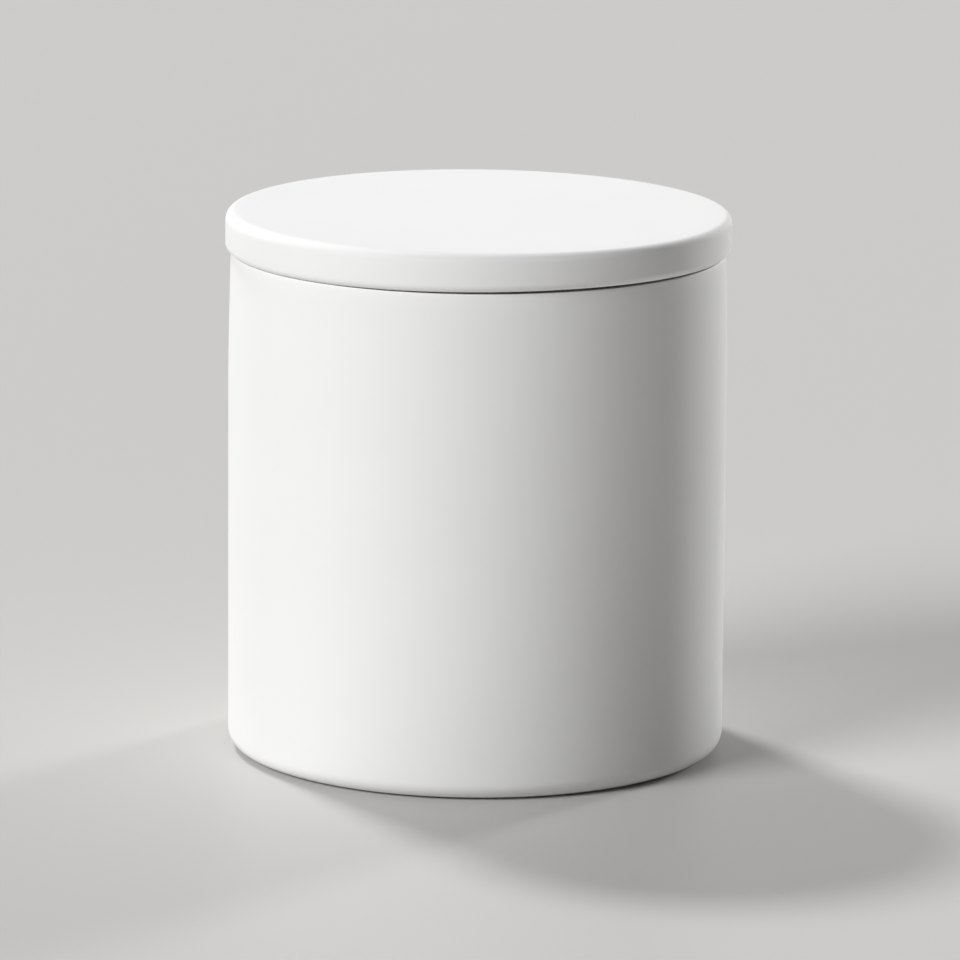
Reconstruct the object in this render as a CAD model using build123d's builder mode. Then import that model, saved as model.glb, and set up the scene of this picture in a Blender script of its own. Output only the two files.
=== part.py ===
"""Lidded kitchen canister: a straight stoneware vessel, a flat plug lid and the lid's silicone seal.

Sizes are in millimetres. The origin is the centre of the foot ring's resting face, with +Z up.
Every piece is a body of revolution about the Z axis, drawn as a half section on the XZ plane.
"""

import os

from build123d import *

os.makedirs("parts", exist_ok=True)

# Vessel, outside
body_diameter = 125.5
vessel_height = 126.8
base_round = 4.1
rim_outer_round = 0.3

# Slight draw-in of the outer wall towards the rim
rim_draw_in = 0.6
rim_draw_height = 27.0
rim_draw_blend = 800.0

# Vessel, inside
wall_thickness = 5.25
rim_inner_round = 0.9
mouth_bore_depth = 20.0
wall_draft = 0.9
floor_thickness = 5.5
floor_round = 7.0

# Foot ring, bare clay that stands just below the glaze, and the recess inside it
foot_reveal = 0.25
foot_inset = 0.6
foot_width = 5.5
base_recess = 1.6
recess_slope_width = 2.0
recess_round = 0.7

# Lid plate
lid_overhang = 0.75
lid_thickness = 10.5
lid_top_round = 2.8
lid_bottom_round = 2.0

# Bare seat land under the plate, which holds the plate's margin just off the rim
seat_step = 0.4
seat_land_inset = 2.6

# Plug ring under the lid, and the dished space inside it
plug_gap = 2.2
plug_core = 3.8
plug_edge_round = 1.1
plug_root_round = 0.8
plate_over_dish = 6.2
dish_round = 4.0

# Seal groove round the plug ring
groove_drop = 1.8
groove_depth = 1.7
lip_below_groove = 2.3

# Silicone seal, as it sits pressed into the mouth
seal_height = 5.4
seal_groove_gap = 0.05
seal_end_gap = 0.1
seal_mouth_gap = 0.2
fin_count = 3
fin_root_thickness = 0.9
fin_tip_thickness = 0.55
fin_rise = 0.85
fin_tip_round = 0.22

# Radii and heights that follow from the sizes above
body_radius = body_diameter / 2
mouth_radius = body_radius - wall_thickness
rim_radius = body_radius - rim_draw_in
draw_start_height = vessel_height - rim_draw_height
lid_radius = body_radius + lid_overhang
seat_land_radius = rim_radius - seat_land_inset
margin_height = vessel_height + seat_step
floor_height = base_recess + floor_thickness
foot_outer_radius = body_radius - base_round - foot_inset
foot_inner_radius = foot_outer_radius - foot_width
plug_radius = mouth_radius - plug_gap
plug_inner_radius = plug_radius - groove_depth - plug_core
groove_height = seal_height + 2 * seal_end_gap
groove_top = vessel_height - groove_drop
groove_bottom = groove_top - groove_height
plug_bottom = groove_bottom - lip_below_groove
lid_top = vessel_height + lid_thickness
dish_height = lid_top - plate_over_dish
seal_inner_radius = plug_radius - groove_depth + seal_groove_gap
seal_bottom = groove_bottom + seal_end_gap
fin_pitch = seal_height / fin_count
fin_tip_radius = mouth_radius - seal_mouth_gap


def corner(section, x, z):
    """Return the corner of a half section that lies nearest to radius x and height z."""
    return section.vertices().sort_by_distance((x, z))[0]


# Vessel: outer wall that draws in to the rim, cylindrical mouth, drafted inside, foot ring and recess
with BuildPart() as vessel:
    with BuildSketch(Plane.XZ) as vessel_section:
        with BuildLine():
            Polyline(
                (0, base_recess),
                (foot_inner_radius - recess_slope_width, base_recess),
                (foot_inner_radius, 0),
                (foot_outer_radius, 0),
                (foot_outer_radius, foot_reveal),
                (body_radius, foot_reveal),
                (body_radius, draw_start_height),
                (rim_radius, vessel_height),
                (mouth_radius, vessel_height),
                (mouth_radius, vessel_height - mouth_bore_depth),
                (mouth_radius - wall_draft, floor_height),
                (0, floor_height),
                close=True,
            )
        make_face()
        fillet(corner(vessel_section, body_radius, foot_reveal), base_round)
        fillet(corner(vessel_section, body_radius, draw_start_height), rim_draw_blend)
        fillet(corner(vessel_section, rim_radius, vessel_height), rim_outer_round)
        fillet(corner(vessel_section, mouth_radius, vessel_height), rim_inner_round)
        fillet(corner(vessel_section, mouth_radius - wall_draft, floor_height), floor_round)
        fillet(corner(vessel_section, foot_inner_radius - recess_slope_width, base_recess), recess_round)
        fillet(corner(vessel_section, foot_inner_radius, 0), recess_round)
    revolve(axis=Axis.Z)
vessel.part.label = "vessel"

# Lid: overhanging plate with rounded edges, seat land and plug ring below it, dished underside
with BuildPart() as lid:
    with BuildSketch(Plane.XZ) as lid_section:
        with BuildLine():
            Polyline(
                (0, lid_top),
                (lid_radius, lid_top),
                (lid_radius, margin_height),
                (seat_land_radius, margin_height),
                (seat_land_radius, vessel_height),
                (plug_radius, vessel_height),
                (plug_radius, plug_bottom),
                (plug_inner_radius, plug_bottom),
                (plug_inner_radius, dish_height),
                (0, dish_height),
                close=True,
            )
        make_face()
        fillet(corner(lid_section, lid_radius, lid_top), lid_top_round)
        fillet(corner(lid_section, lid_radius, margin_height), lid_bottom_round)
        fillet(corner(lid_section, plug_radius, vessel_height), plug_root_round)
        fillet(corner(lid_section, plug_radius, plug_bottom), plug_edge_round)
        fillet(corner(lid_section, plug_inner_radius, plug_bottom), plug_edge_round)
        fillet(corner(lid_section, plug_inner_radius, dish_height), dish_round)
    revolve(axis=Axis.Z)
    # Groove that holds the seal
    with BuildSketch(Plane.XZ):
        with Locations((plug_radius, groove_bottom)):
            Rectangle(2 * groove_depth, groove_height, align=(Align.CENTER, Align.MIN))
    revolve(axis=Axis.Z, mode=Mode.SUBTRACT)
lid.part.label = "lid"

# Seal: a band flush in the groove, with fins that lean back from the way the lid goes in
with BuildPart() as lid_seal:
    with BuildSketch(Plane.XZ) as seal_section:
        with Locations((seal_inner_radius, seal_bottom)):
            Rectangle(plug_radius - seal_inner_radius, seal_height, align=(Align.MIN, Align.MIN))
        for fin in range(fin_count):
            root_height = seal_bottom + (fin + 0.5) * fin_pitch
            with BuildLine():
                Polyline(
                    (seal_inner_radius, root_height - fin_root_thickness / 2),
                    (plug_radius, root_height - fin_root_thickness / 2),
                    (fin_tip_radius, root_height + fin_rise - fin_tip_thickness / 2),
                    (fin_tip_radius, root_height + fin_rise + fin_tip_thickness / 2),
                    (plug_radius, root_height + fin_root_thickness / 2),
                    (seal_inner_radius, root_height + fin_root_thickness / 2),
                    close=True,
                )
            make_face()
        fillet(seal_section.vertices().group_by(Axis.X)[-1], fin_tip_round)
    revolve(axis=Axis.Z)
lid_seal.part.label = "lid_seal"

export_step(vessel.part, "parts/vessel.step")
export_step(lid.part, "parts/lid.step")
export_step(lid_seal.part, "parts/lid_seal.step")
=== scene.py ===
# %% [markdown]
# # A lidded canister in matte glazed stoneware
#
# The canister is a straight round vessel with a flat lid that overhangs it by about a millimetre. Under
# the lid a plug ring carries a finned silicone seal. All three pieces are turned shapes, so each one is
# an outline in the plane of radius and height, carried once round the Z axis. Blender could make them
# with its Screw modifier or from a lathe curve. Here they are worked out as arrays instead, because a
# formula keeps every round exact and lets the fired clay drift a little from a true circle.

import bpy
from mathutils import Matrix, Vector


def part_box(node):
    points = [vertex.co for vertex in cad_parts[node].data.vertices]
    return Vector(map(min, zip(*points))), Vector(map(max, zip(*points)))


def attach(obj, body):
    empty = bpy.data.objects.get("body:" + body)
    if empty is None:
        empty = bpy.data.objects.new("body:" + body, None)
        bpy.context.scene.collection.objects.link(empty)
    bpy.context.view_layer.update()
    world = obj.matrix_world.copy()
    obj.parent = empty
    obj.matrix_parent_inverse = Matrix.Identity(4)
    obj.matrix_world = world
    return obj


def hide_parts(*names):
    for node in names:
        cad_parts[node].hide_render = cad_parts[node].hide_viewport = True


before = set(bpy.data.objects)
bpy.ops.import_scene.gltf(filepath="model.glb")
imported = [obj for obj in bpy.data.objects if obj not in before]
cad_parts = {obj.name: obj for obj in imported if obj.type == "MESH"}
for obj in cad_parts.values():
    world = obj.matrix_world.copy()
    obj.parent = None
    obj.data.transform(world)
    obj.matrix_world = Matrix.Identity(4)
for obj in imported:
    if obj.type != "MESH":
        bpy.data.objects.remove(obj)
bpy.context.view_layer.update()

import math

import bpy
import numpy as np
from mathutils import Euler, Matrix

# %% [markdown]
# ## Sizes
#
# The frame gives the outer size and the place of each node, in metres. What its boxes can't say, such
# as a wall or a round, is written here in millimetres, as the solids have it.

# %% Sizes that the frame gives
MM = 0.001
vessel_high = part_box("vessel")[1]
lid_low, lid_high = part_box("lid")
seal_low, seal_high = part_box("lid_seal")

body_radius = vessel_high.x
seat_height = vessel_high.z
lid_radius = lid_high.x
lid_top = lid_high.z
plug_bottom = lid_low.z
fin_tip_radius = seal_high.x
seal_bottom = seal_low.z
print("body radius %.1f mm, lid radius %.1f mm, height %.1f mm"
      % (body_radius / MM, lid_radius / MM, lid_top / MM))

# %% Sizes of the walls, rounds and gaps
wall_thickness = 5.25 * MM
mouth_bore_depth = 20.0 * MM
wall_draft = 0.9 * MM
floor_thickness = 5.5 * MM
floor_round = 7.0 * MM
draft_blend_round = 60.0 * MM
rim_inner_round = 0.9 * MM
rim_outer_round = 0.3 * MM
rim_draw_in = 0.6 * MM
rim_draw_height = 27.0 * MM
rim_draw_blend = 800.0 * MM
base_round = 4.1 * MM

foot_reveal = 0.25 * MM
foot_inset = 0.6 * MM
foot_width = 5.5 * MM
base_recess = 1.6 * MM
recess_slope_width = 2.0 * MM
recess_round = 0.7 * MM

lid_top_round = 2.8 * MM
lid_bottom_round = 2.0 * MM
seat_step = 0.4 * MM
seat_land_inset = 2.6 * MM
plug_gap = 2.2 * MM
plug_core = 3.8 * MM
plug_edge_round = 1.1 * MM
plug_root_round = 0.8 * MM
plate_over_dish = 6.2 * MM
dish_round = 4.0 * MM

groove_drop = 1.8 * MM
groove_depth = 1.7 * MM
groove_height = 5.6 * MM
seal_height = 5.4 * MM
seal_groove_gap = 0.05 * MM
fin_count = 3
fin_root_thickness = 0.9 * MM
fin_tip_thickness = 0.55 * MM
fin_rise = 0.85 * MM
fin_tip_round = 0.22 * MM
edge_break = 0.1 * MM

# Spacing of the points along straight stretches, the points round the axis, and a width too small to see
outline_spacing = 3.0 * MM
around = 320
hair = 0.01 * MM

# %% Radii and heights that follow
mouth_radius = body_radius - wall_thickness
rim_radius = body_radius - rim_draw_in
draw_start_height = seat_height - rim_draw_height
floor_height = base_recess + floor_thickness
foot_outer_radius = body_radius - base_round - foot_inset
foot_inner_radius = foot_outer_radius - foot_width
plug_radius = mouth_radius - plug_gap
plug_inner_radius = plug_radius - groove_depth - plug_core
dish_height = lid_top - plate_over_dish
seat_land_radius = rim_radius - seat_land_inset
margin_height = seat_height + seat_step
groove_radius = plug_radius - groove_depth
groove_top = seat_height - groove_drop
groove_bottom = groove_top - groove_height
seal_inner_radius = groove_radius + seal_groove_gap
print("mouth radius %.1f mm, plug radius %.1f mm" % (mouth_radius / MM, plug_radius / MM))

# %% [markdown]
# ## Outlines with rounded corners
#
# A potter's or moulder's outline is a few straight stretches joined by rounds. So an outline is a
# short list of corners, each with its round, and one function puts the arcs in. Complex numbers hold
# radius and height together, because turning and scaling them is then a plain product. A quarter turn
# is a whole number of arc steps, and its last digit may differ from run to run, so the number of steps
# is rounded up only past a small slack. The mesh then has the same points each time.

# %% Rounded outline
step_slack = 1e-6


def step_count(length, longest_step):
    """Return how many even steps make up a length: length / longest step, rounded up, and at least 1."""
    return max(1, math.ceil(length / longest_step - step_slack))


def rounded_outline(corners, spacing, arc_step=math.radians(6), fewest_steps=4, closed=False):
    """Return an outline as complex numbers, radius + 1j * height.

    Each corner is (radius, height, round). With a the angle between the unit directions u and v to its
    neighbours, the arc touches them at round / tan(a / 2) from the corner, and its centre lies
    round / sin(a / 2) from it along u + v. Straight stretches are divided evenly, at most spacing apart.
    """
    radius, height, rounds = np.array(corners, float).T
    corner = radius + 1j * height
    back = np.roll(corner, 1) - corner
    on = np.roll(corner, -1) - corner
    back /= np.abs(back)
    on /= np.abs(on)
    half = np.abs(np.angle(on / back)) / 2
    start = corner + back * rounds / np.tan(half)
    end = corner + on * rounds / np.tan(half)
    arcs = []
    for i, round_size in enumerate(rounds):
        if round_size == 0:
            arcs.append(corner[i:i + 1])
            continue
        centre = corner[i] + (back[i] + on[i]) / abs(back[i] + on[i]) * round_size / math.sin(half[i])
        turn = np.angle((end[i] - centre) / (start[i] - centre))
        share = np.linspace(0, 1, max(fewest_steps, step_count(abs(turn), arc_step)) + 1)
        arcs.append(centre + (start[i] - centre) * np.exp(1j * turn * share))
    stretches = []
    for i, arc in enumerate(arcs):
        stretches.append(arc)
        if closed or i < len(arcs) - 1:
            gap = arcs[(i + 1) % len(arcs)][0] - arc[-1]
            share = np.linspace(0, 1, step_count(abs(gap), spacing) + 1)[1:-1]
            stretches.append(arc[-1] + gap * share)
    return np.concatenate(stretches)

# %% [markdown]
# ## Turning an outline
#
# The turned surface is a grid: one way along the outline, the other way round the axis. An outline that
# starts and ends on the axis is closed there by one point and a fan of triangles, so that the mesh has
# no hole and no needle faces at its pole. The outlines run with the air on their left, and then every
# face points outwards.
#
# Fired clay is never quite round. The photographed walls drift by a fraction of a millimetre, which
# shows as a slight unevenness in the long soft gradient. Three slow waves round the wall, which lean
# with the height, do that. They only ever go inwards, so the piece stays within its real size.

# %% Drift of the fired walls
wander_depth = 0.12 * MM

# For each wave: how often it goes round the wall, its phase, and its lean over the vessel's height
wall_waves = [(2, 0.7, 1.1), (3, 2.9, -1.7), (5, 4.4, 2.6)]


def wall_wander(turn, height):
    """Return an inward drift from 0 to 1: (1 + m) / 2, where m is the mean of the waves' cosines."""
    share_up = height / seat_height
    waves = [np.cos(count * turn + phase + lean * share_up) for count, phase, lean in wall_waves]
    return (1 + sum(waves) / len(waves)) / 2

# %% Turned surface
def turned_piece(name, outline, segments, closed=False, wander_from=None, warp=None):
    """Carry an outline once round the Z axis and return the new object.

    The point (r, z) at turn t goes to (r cos t, r sin t, z). Where warp is given, it first turns each
    (r, z) into a new one. Where wander_from is given, r is then drawn in by the wall's drift, with a
    share that rises smoothly from 0 at that radius to 1 at the outermost one.
    """
    turn = np.linspace(0, 2 * math.pi, segments, endpoint=False)
    rings = outline if closed else outline[1:-1]
    radius = np.repeat(rings.real[:, None], segments, axis=1)
    height = np.repeat(rings.imag[:, None], segments, axis=1)
    if warp is not None:
        radius, height = warp(turn, radius, height)
    if wander_from is not None:
        share = np.clip((radius - wander_from) / (radius.max() - wander_from), 0, 1)
        radius = radius - wander_depth * share ** 2 * (3 - 2 * share) * wall_wander(turn, height)
    points = np.stack([radius * np.cos(turn), radius * np.sin(turn), height], axis=-1).reshape(-1, 3)

    count = len(rings)
    here = np.arange(count if closed else count - 1)[:, None]
    following = (here + 1) % count
    side = np.arange(segments)[None, :]
    next_side = (side + 1) % segments
    quads = np.stack([here * segments + side, following * segments + side,
                      following * segments + next_side, here * segments + next_side], axis=-1)
    faces = quads.reshape(-1, 4).tolist()
    if not closed:
        first_pole, last_pole = len(points), len(points) + 1
        poles = [[0, 0, outline[0].imag], [0, 0, outline[-1].imag]]
        points = np.vstack([points, poles])
        near, far = side[0], next_side[0]
        last_near, last_far = near + (count - 1) * segments, far + (count - 1) * segments
        faces += np.stack([np.full(segments, first_pole), near, far], axis=-1).tolist()
        faces += np.stack([np.full(segments, last_pole), last_far, last_near], axis=-1).tolist()

    mesh = bpy.data.meshes.new(name)
    mesh.from_pydata(points, [], faces)
    mesh.polygons.foreach_set("use_smooth", np.ones(len(faces), bool))
    mesh.update()
    piece = bpy.data.objects.new(name, mesh)
    bpy.context.scene.collection.objects.link(piece)
    return piece


def solid_volume(mesh):
    """Return a closed mesh's volume and its number of triangles.

    The volume is the sum over the triangles of a · (b × c) / 6, positive if the mesh faces outwards.
    """
    mesh.calc_loop_triangles()
    corners = np.empty(len(mesh.loop_triangles) * 3, np.int32)
    mesh.loop_triangles.foreach_get("vertices", corners)
    points = np.empty(len(mesh.vertices) * 3, np.float32)
    mesh.vertices.foreach_get("co", points)
    a, b, c = points.reshape(-1, 3)[corners.reshape(-1, 3)].astype(float).transpose(1, 0, 2)
    return (a * np.cross(b, c)).sum() / 6, len(mesh.loop_triangles)


def report_piece(piece):
    """Print a piece's triangles and its volume in millilitres."""
    volume, triangles = solid_volume(piece.data)
    print("%s: %d triangles, %.1f ml of material" % (piece.name, triangles, volume * 1e6))

# %% [markdown]
# ## The vessel
#
# The outline starts at the middle of the inside floor, climbs the wall, goes over the rim and down the
# outside to the base round. The outer wall isn't a plain cylinder: on the photograph's silhouette it
# draws in by 0.6 mm over its last 27 mm, which makes the lid stand out a little more. The rim is ground
# flat, so its outer edge is crisp. The bare foot ring stands a quarter of a millimetre below the glaze,
# and its shadow is the fine dark line that the photograph shows under the white.

# %% Vessel
vessel_corners = [
    (0, floor_height, 0),
    (mouth_radius - wall_draft, floor_height, floor_round),
    (mouth_radius, seat_height - mouth_bore_depth, draft_blend_round),
    (mouth_radius, seat_height, rim_inner_round),
    (rim_radius, seat_height, rim_outer_round),
    (body_radius, draw_start_height, rim_draw_blend),
    (body_radius, foot_reveal, base_round),
    (foot_outer_radius, foot_reveal, edge_break),
    (foot_outer_radius, 0, edge_break),
    (foot_inner_radius, 0, recess_round),
    (foot_inner_radius - recess_slope_width, base_recess, recess_round),
    (0, base_recess, 0),
]
vessel = turned_piece("vessel_body", rounded_outline(vessel_corners, outline_spacing), around,
                      wander_from=mouth_radius)
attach(vessel, "vessel")
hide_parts("vessel")
report_piece(vessel)

# %% [markdown]
# ## The lid
#
# The lid is a thick plate with a full round above and a smaller one below. It rests on a land inside
# its margin, ground flat so that the lid doesn't rock, and the margin itself stays a little clear of
# the rim. That narrow gap is the crisp dark seam of the photograph. Under the plate the plug ring
# centres the lid, and a groove round it holds the seal.
#
# A fired plate is never quite even. The photographed lid falls away by most of a millimetre towards its
# right edge and has a tighter upper round there, and its seam is nearly closed at the left and widest a
# little right of the middle. Each of these is a smooth swell round the plate, a cosine raised to a
# power, and a higher power makes a narrower swell. A lattice or a displacement could bend the mesh, but
# here each point moves before there is a mesh, so that the land stays flat, as it is ground after the
# firing, and the lid still sits level.

# %% Unevenness of the fired plate
fall_most = 0.85 * MM
fall_turn = math.radians(-15)
fall_power = 1.5
round_tightening = 1.0 * MM
tightest_turn = 0.0
tightening_power = 1.0
seam_least = 0.03 * MM
seam_most = 0.6 * MM
widest_turn = math.radians(-65)
seam_power = 6.0

round_centre_radius = lid_radius - lid_top_round
side_bottom = margin_height + lid_bottom_round
side_top = lid_top - lid_top_round


def swell(turn, highest_turn, power):
    """Return a swell from 0 to 1 round the plate: ((1 + cos(turn - highest_turn)) / 2) ** power."""
    return ((1 + np.cos(turn - highest_turn)) / 2) ** power


def fired_plate(turn, radius, height):
    """Return the lid's radii and heights after the firing.

    The upper round shrinks by t = tightening * swell: its point at angle a moves out by t (1 - cos a) and
    up by t (1 - sin a). The top falls by fall * swell * (radius / lid radius) ** 2, and the margin rises
    or sinks to a seam of least + (most - least) * swell. Both fade out along the straight side.
    """
    in_round = (radius > round_centre_radius - hair) & (height > side_top - hair)
    tightening = round_tightening * swell(turn, tightest_turn, tightening_power) * in_round
    new_radius = radius + tightening * (1 - (radius - round_centre_radius) / lid_top_round)
    new_height = height + tightening * (1 - (height - side_top) / lid_top_round)

    along_side = np.clip((height - side_bottom) / (side_top - side_bottom), 0, 1)
    outside = (radius > seat_land_radius - 2 * edge_break) | (height > side_top)
    fall = fall_most * swell(turn, fall_turn, fall_power) * (radius / lid_radius) ** 2
    new_height = new_height - fall * along_side * outside

    seam = seam_least + (seam_most - seam_least) * swell(turn, widest_turn, seam_power)
    off_land = np.clip((height - seat_height) / seat_step, 0, 1)
    new_height = new_height + (seam - seat_step) * off_land * (1 - along_side) * outside
    return new_radius, new_height


left_to_right = np.radians([180, 225, 270, 295, 0])
_, margin = fired_plate(left_to_right, lid_radius, margin_height)
_, side_end = fired_plate(left_to_right, lid_radius, side_top)
print("seam in mm, from the left to the right:", np.round((margin - seat_height) / MM, 2))
print("upper end of the side in mm:", np.round(side_end / MM, 2))

# %% Lid
lid_corners = [
    (0, lid_top, 0),
    (lid_radius, lid_top, lid_top_round),
    (lid_radius, margin_height, lid_bottom_round),
    (seat_land_radius, margin_height, edge_break),
    (seat_land_radius, seat_height, edge_break),
    (plug_radius, seat_height, plug_root_round),
    (plug_radius, groove_top, edge_break),
    (groove_radius, groove_top, edge_break),
    (groove_radius, groove_bottom, edge_break),
    (plug_radius, groove_bottom, edge_break),
    (plug_radius, plug_bottom, plug_edge_round),
    (plug_inner_radius, plug_bottom, plug_edge_round),
    (plug_inner_radius, dish_height, dish_round),
    (0, dish_height, 0),
]
lid = turned_piece("lid_disc", rounded_outline(lid_corners, outline_spacing), around,
                   wander_from=plug_radius, warp=fired_plate)
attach(lid, "lid")
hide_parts("lid")
report_piece(lid)

# %% [markdown]
# ## The seal
#
# The seal is a moulded silicone ring: a band in the groove and three fins that lean back as the lid
# goes in. Its outline is closed, so the turned surface is a ring with no poles. The fins' corners are
# made in a loop from the top down, because the outline goes down its outer side.

# %% Seal
seal_spacing = 0.6 * MM
seal_arc_step = math.radians(20)
fin_pitch = seal_height / fin_count
seal_corners = [
    (seal_inner_radius, seal_bottom, edge_break),
    (seal_inner_radius, seal_bottom + seal_height, edge_break),
    (plug_radius, seal_bottom + seal_height, edge_break),
]
for fin in reversed(range(fin_count)):
    root = seal_bottom + (fin + 0.5) * fin_pitch
    seal_corners += [
        (plug_radius, root + fin_root_thickness / 2, edge_break),
        (fin_tip_radius, root + fin_rise + fin_tip_thickness / 2, fin_tip_round),
        (fin_tip_radius, root + fin_rise - fin_tip_thickness / 2, fin_tip_round),
        (plug_radius, root - fin_root_thickness / 2, edge_break),
    ]
seal_corners.append((plug_radius, seal_bottom, edge_break))
seal_outline = rounded_outline(seal_corners, seal_spacing, seal_arc_step, closed=True)
seal = turned_piece("seal_ring", seal_outline, around, closed=True)
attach(seal, "lid")
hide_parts("lid_seal")
report_piece(seal)

# %% [markdown]
# ## Colours and nodes
#
# Colours are written as sRGB hex values, as a paint chart or a picture editor gives them, and turned to
# linear light by one function. Another small function adds a node with its settings and links, so that
# each material reads as a short recipe.

# %% Helpers for materials
def linear(hex_colour):
    """Return (r, g, b, 1) in linear light: c / 12.92 up to 0.04045, else ((c + 0.055) / 1.055) ** 2.4."""
    share = np.array([int(hex_colour[i:i + 2], 16) for i in (1, 3, 5)]) / 255
    light = np.where(share <= 0.04045, share / 12.92, ((share + 0.055) / 1.055) ** 2.4)
    return (*light.tolist(), 1.0)


def add_node(tree, kind, settings=None, links=None):
    """Add a node to a tree and return it.

    settings gives attributes or socket values by name, and links gives the source of each linked socket,
    by the socket's name or its number.
    """
    node = tree.nodes.new(kind)
    for key, value in (settings or {}).items():
        if hasattr(node, key):
            setattr(node, key, value)
        else:
            node.inputs[key].default_value = value
    for key, source in (links or {}).items():
        tree.links.new(source, node.inputs[key])
    return node


def new_material(name):
    """Return a new material and its node tree, which is still empty."""
    material = bpy.data.materials.new(name)
    material.use_nodes = True
    material.node_tree.nodes.clear()
    return material, material.node_tree

# %% [markdown]
# ## Matte white glaze
#
# The finish is a stiff zirconium white glaze, fired matte: fine crystals at its surface scatter the
# light, so it has no mirror in it, only a broad soft sheen that grows towards the edges. It is a
# neutral near white with clouds that are all but invisible, a skin like an eggshell, and a very fine
# grain. The index of refraction is that of glass, 1.5, and the roughness is high.

# %% Glaze material
def matte_glaze(name):
    """Matte white glaze: clouds 30 mm across, eggshell skin of 1.2 mm and grain of 0.35 mm."""
    material, tree = new_material(name)
    here = add_node(tree, "ShaderNodeTexCoord").outputs["Object"]
    clouds = add_node(tree, "ShaderNodeTexNoise", {"Scale": 1 / (30 * MM), "Detail": 3.0},
                      {"Vector": here})
    skin = add_node(tree, "ShaderNodeTexNoise", {"Scale": 1 / (1.2 * MM), "Detail": 2.0},
                    {"Vector": here})
    grain = add_node(tree, "ShaderNodeTexNoise", {"Scale": 1 / (0.35 * MM), "Detail": 1.0},
                     {"Vector": here})
    colour = add_node(tree, "ShaderNodeMix", {"data_type": "RGBA"}, {"Factor": clouds.outputs["Fac"]})
    colour.inputs["A"].default_value = linear("#F1F1F1")
    colour.inputs["B"].default_value = linear("#F5F5F5")
    rough = add_node(tree, "ShaderNodeMapRange", {"To Min": 0.62, "To Max": 0.74},
                     {"Value": grain.outputs["Fac"]})
    skin_bump = add_node(tree, "ShaderNodeBump", {"Strength": 0.3, "Distance": 0.02 * MM},
                         {"Height": skin.outputs["Fac"]})
    grain_bump = add_node(tree, "ShaderNodeBump", {"Strength": 0.25, "Distance": 0.01 * MM},
                          {"Height": grain.outputs["Fac"], "Normal": skin_bump.outputs["Normal"]})
    surface = add_node(tree, "ShaderNodeBsdfPrincipled", {"IOR": 1.5},
                       {"Base Color": colour.outputs["Result"], "Roughness": rough.outputs["Result"],
                        "Normal": grain_bump.outputs["Normal"]})
    add_node(tree, "ShaderNodeOutputMaterial", None, {"Surface": surface.outputs["BSDF"]})
    return material


glaze = matte_glaze("matte_white_glaze")

# %% [markdown]
# ## Bare stoneware
#
# Where a piece stands in the kiln it can't be glazed, so the foot ring and the lower edge of the plug
# ring are bare fired clay: pale warm grey, quite rough, with sand and small dark iron specks. So are the
# faces that meet each other, the vessel's rim and the underside of the lid's margin with its land.

# %% Bare clay material
def bare_stoneware(name):
    """Fired clay: pale grey mottling of 2 mm, sand of 0.25 mm and rare iron specks of 0.6 mm."""
    material, tree = new_material(name)
    here = add_node(tree, "ShaderNodeTexCoord").outputs["Object"]
    mottle = add_node(tree, "ShaderNodeTexNoise", {"Scale": 1 / (2 * MM), "Detail": 4.0}, {"Vector": here})
    sand = add_node(tree, "ShaderNodeTexNoise", {"Scale": 1 / (0.25 * MM), "Detail": 2.0}, {"Vector": here})
    specks = add_node(tree, "ShaderNodeTexVoronoi", {"Scale": 1 / (0.6 * MM)}, {"Vector": here})
    clay = add_node(tree, "ShaderNodeMix", {"data_type": "RGBA"}, {"Factor": mottle.outputs["Fac"]})
    clay.inputs["A"].default_value = linear("#C6C1B9")
    clay.inputs["B"].default_value = linear("#D6D2CB")
    speck_mask = add_node(tree, "ShaderNodeMapRange",
                          {"From Min": 0.10, "From Max": 0.16, "To Min": 0.7, "To Max": 0.0},
                          {"Value": specks.outputs["Distance"]})
    colour = add_node(tree, "ShaderNodeMix", {"data_type": "RGBA"},
                      {"Factor": speck_mask.outputs["Result"], "A": clay.outputs["Result"]})
    colour.inputs["B"].default_value = linear("#77695B")
    bump = add_node(tree, "ShaderNodeBump", {"Strength": 0.6, "Distance": 0.05 * MM},
                    {"Height": sand.outputs["Fac"]})
    surface = add_node(tree, "ShaderNodeBsdfPrincipled", {"IOR": 1.5, "Roughness": 0.9},
                       {"Base Color": colour.outputs["Result"], "Normal": bump.outputs["Normal"]})
    add_node(tree, "ShaderNodeOutputMaterial", None, {"Surface": surface.outputs["BSDF"]})
    return material


bare_clay = bare_stoneware("bare_fired_stoneware")

# %% [markdown]
# ## Silicone
#
# Food-grade silicone is milky: light goes a millimetre or two into it and comes out soft, and the
# moulded skin has a satin gloss. Its index of refraction is 1.41.

# %% Silicone material
def milky_silicone(name):
    """Moulded silicone: subsurface light 1.5 mm deep under a satin skin with faint handling haze."""
    material, tree = new_material(name)
    here = add_node(tree, "ShaderNodeTexCoord").outputs["Object"]
    haze = add_node(tree, "ShaderNodeTexNoise", {"Scale": 1 / (4 * MM), "Detail": 3.0}, {"Vector": here})
    rough = add_node(tree, "ShaderNodeMapRange", {"To Min": 0.28, "To Max": 0.42},
                     {"Value": haze.outputs["Fac"]})
    colour = add_node(tree, "ShaderNodeMix", {"data_type": "RGBA"}, {"Factor": haze.outputs["Fac"]})
    colour.inputs["A"].default_value = linear("#E4E4DF")
    colour.inputs["B"].default_value = linear("#ECECE8")
    surface = add_node(tree, "ShaderNodeBsdfPrincipled",
                       {"IOR": 1.41, "Subsurface Weight": 0.5, "Subsurface Scale": 1.5 * MM,
                        "Subsurface Radius": (1.0, 0.95, 0.85)},
                       {"Base Color": colour.outputs["Result"], "Roughness": rough.outputs["Result"]})
    add_node(tree, "ShaderNodeOutputMaterial", None, {"Surface": surface.outputs["BSDF"]})
    return material


silicone = milky_silicone("milky_silicone")

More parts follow.
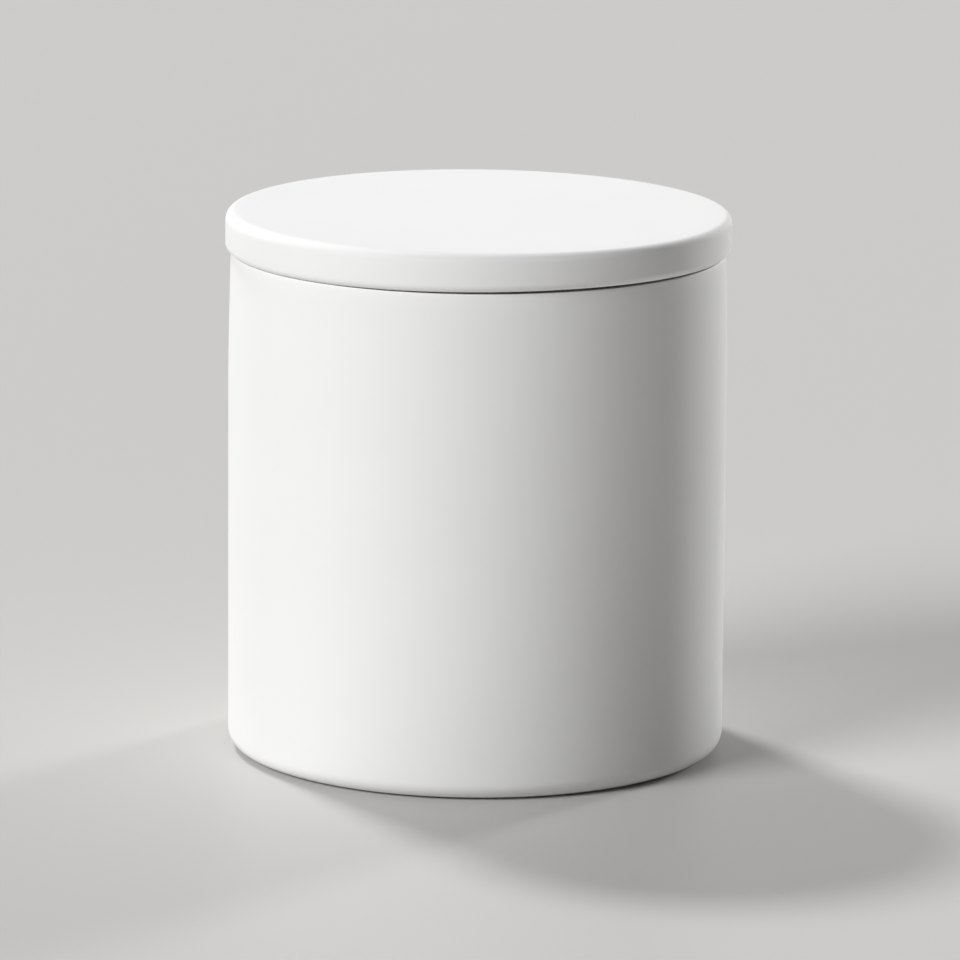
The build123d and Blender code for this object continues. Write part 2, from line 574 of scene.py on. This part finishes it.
# %% [markdown]
# ## Putting the finishes on
#
# A mesh holds a list of materials, and each face says which one it wears. The bare clay goes on the
# faces of the foot ring below the glaze line, on the rim's flat top, on the flat lower edge of the plug
# ring, and on the flat underside of the lid's margin with the land that it rests on. Clay drinks more
# of the light that enters the seam than glaze would, so it also keeps that line dark.

# %% Finish each piece
def dress(piece, finish, bare_zones=()):
    """Give a piece its finish, and bare clay to the faces whose middle lies in one of the ring zones.

    A zone is (lowest, highest, inner radius, outer radius).
    """
    piece.data.materials.append(finish)
    if not bare_zones:
        return
    piece.data.materials.append(bare_clay)
    middle = np.empty(len(piece.data.polygons) * 3, np.float32)
    piece.data.polygons.foreach_get("center", middle)
    x, y, z = middle.reshape(-1, 3).T
    radius = np.hypot(x, y)
    bare = np.zeros(len(z), bool)
    for lowest, highest, inner, outer in bare_zones:
        bare |= (z > lowest) & (z < highest) & (radius > inner) & (radius < outer)
    piece.data.polygons.foreach_set("material_index", bare.astype(np.int32))
    print("%s: %d bare faces" % (piece.name, bare.sum()))


foot_ring = (-hair, foot_reveal - hair, foot_inner_radius - recess_slope_width,
             foot_outer_radius + edge_break)
rim_flat = (seat_height - hair, seat_height + hair, mouth_radius, rim_radius)
plug_edge = (plug_bottom - hair, plug_bottom + hair, plug_inner_radius, plug_radius)
lid_margin = (seat_height - hair, seat_height + seam_most + hair, plug_radius,
              lid_radius - lid_bottom_round - wander_depth)
dress(vessel, glaze, [foot_ring, rim_flat])
dress(lid, glaze, [plug_edge, lid_margin])
dress(seal, silicone)

# %% [markdown]
# ## Floor and backdrop
#
# The floor is a plain pale sheet, large enough to fill the view. It lies a hair's breadth under the
# foot ring, because two faces in one plane would speckle. The world behind it has the same pale colour
# where the camera, a gloss or a clear piece sees it. For all other light it is a dim even fill, so that
# the soft shadows on the white walls stay.

# %% Floor
studio_colour = linear("#C8C7C5")
floor_half_size = 4.0
floor_drop = 0.05 * MM
floor_grid = np.array([(-1, -1, 0), (1, -1, 0), (1, 1, 0), (-1, 1, 0)]) * floor_half_size
floor_mesh = bpy.data.meshes.new("studio_floor")
floor_mesh.from_pydata(floor_grid - (0, 0, floor_drop), [], [(0, 1, 2, 3)])
floor = bpy.data.objects.new("studio_floor", floor_mesh)
bpy.context.scene.collection.objects.link(floor)

floor_paper, floor_tree = new_material("pale_studio_floor")
floor_surface = add_node(floor_tree, "ShaderNodeBsdfPrincipled",
                         {"Base Color": studio_colour, "Roughness": 0.45, "IOR": 1.45})
add_node(floor_tree, "ShaderNodeOutputMaterial", None, {"Surface": floor_surface.outputs["BSDF"]})
floor_mesh.materials.append(floor_paper)

# %% World
fill_strength = 0.03
world = bpy.data.worlds.new("studio")
bpy.context.scene.world = world
world.use_nodes = True
sky = world.node_tree
sky.nodes.clear()
ray = add_node(sky, "ShaderNodeLightPath").outputs
camera_or_gloss = add_node(sky, "ShaderNodeMath", {"operation": "MAXIMUM"},
                           {0: ray["Is Camera Ray"], 1: ray["Is Glossy Ray"]})
seen = add_node(sky, "ShaderNodeMath", {"operation": "MAXIMUM"},
                {0: camera_or_gloss.outputs[0], 1: ray["Is Transmission Ray"]})
fill = add_node(sky, "ShaderNodeBackground", {"Color": linear("#FFFFFF"), "Strength": fill_strength})
backdrop = add_node(sky, "ShaderNodeBackground", {"Color": studio_colour, "Strength": 1.0})
blend = add_node(sky, "ShaderNodeMixShader", None,
                 {0: seen.outputs[0], 1: fill.outputs[0], 2: backdrop.outputs[0]})
add_node(sky, "ShaderNodeOutputWorld", None, {"Surface": blend.outputs[0]})

# %% [markdown]
# ## Light
#
# The photograph has a wide soft light from the front left, which gives the walls their long falloff to
# a dark band right of the middle, a smaller one high behind the left shoulder, which lays the shadow to
# the front right, and a low one behind the right, which lifts the right edge again. Sun lamps with a
# wide angle are soft in the same way and light the floor evenly wherever it lies. A white sheet that
# faces a sun of strength pi renders as 1, so each lamp is given as a share of that.

# %% Lamps
def add_sun(name, azimuth, elevation, share, spread):
    """Add a sun azimuth degrees left of the camera's side, elevation degrees up and spread degrees wide."""
    lamp = bpy.data.lights.new(name, "SUN")
    lamp.energy = math.pi * share
    lamp.angle = math.radians(spread)
    source = bpy.data.objects.new(name, lamp)
    source.rotation_euler = (math.radians(90 - elevation), 0, math.radians(-azimuth))
    bpy.context.scene.collection.objects.link(source)
    print("%s: azimuth %d, elevation %d, share %.3f" % (name, azimuth, elevation, share))


add_sun("wide_front_left", azimuth=51, elevation=31, share=0.79, spread=30)
add_sun("back_left", azimuth=149, elevation=50, share=0.535, spread=9)
add_sun("back_right_edge", azimuth=-140, elevation=12, share=0.58, spread=10)

# %% [markdown]
# ## Camera
#
# The camera stands where the photograph's outlines put it: a long lens 1.8 metres away, looking twelve
# degrees down. Its distance and height were fitted in lid radii, and its focal length in pixels of a
# frame 960 pixels wide.

# %% Camera
frame_pixels = 960
focal_pixels = 7357
sensor_width = 36.0
lens_distance = 28.628 * lid_radius
lens_height = 7.061 * lid_radius
pitch_down = math.radians(11.822)
pan_right = math.radians(0.026)
roll = math.radians(0.45)

camera_data = bpy.data.cameras.new("photo_camera")
camera_data.sensor_width = sensor_width
camera_data.lens = focal_pixels / frame_pixels * sensor_width
camera_data.clip_start = 0.05
camera_data.clip_end = 50
camera = bpy.data.objects.new("photo_camera", camera_data)
place = Matrix.Translation((0, -lens_distance, lens_height))
aim = Euler((math.pi / 2 - pitch_down, 0, -pan_right)).to_matrix().to_4x4()
camera.matrix_world = place @ aim @ Matrix.Rotation(roll, 4, "Z")
bpy.context.scene.collection.objects.link(camera)
bpy.context.scene.camera = camera
bpy.context.scene.view_settings.view_transform = "Standard"
print("lens %.0f mm at %.2f m" % (camera_data.lens, lens_distance))
